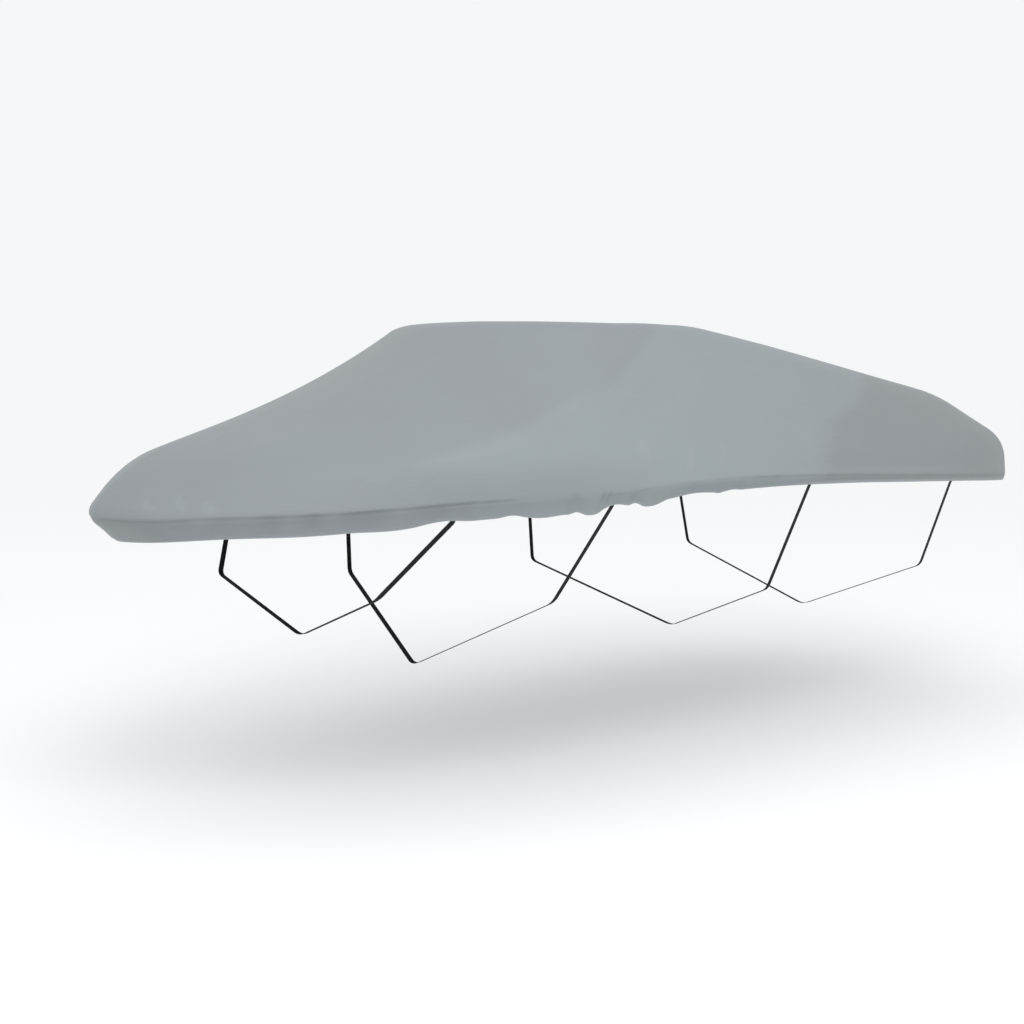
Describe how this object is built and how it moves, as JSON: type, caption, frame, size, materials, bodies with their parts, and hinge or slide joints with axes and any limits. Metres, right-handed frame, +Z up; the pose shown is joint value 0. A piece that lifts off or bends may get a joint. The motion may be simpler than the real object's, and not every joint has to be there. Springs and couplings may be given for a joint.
{
  "type": "boat cover",
  "caption": "Fitted grey cloth cover for a small runabout, peaked over its windshield and drawn in under the rail, with black straps that pass under the hull.",
  "frame": {"origin": "on the centreline at the underside of the cover's top, 2.3 m aft of the bow, where the boat's windshield frame holds the cloth up", "axes": "+X aft along the boat, +Y to starboard, +Z up"},
  "size_m": [5.367, 2.0966, 1.6067],
  "materials": {
    "coated_polyester": "matt, close plain weave with a water-repellent coating, soft sheen",
    "black_webbing": "matt ribbed webbing"
  },
  "bodies": {
    "root": {"cover_cloth": "coated_polyester", "strap_1": "black_webbing", "strap_2": "black_webbing", "strap_3": "black_webbing", "strap_4": "black_webbing"}
  },
  "joints": []
}
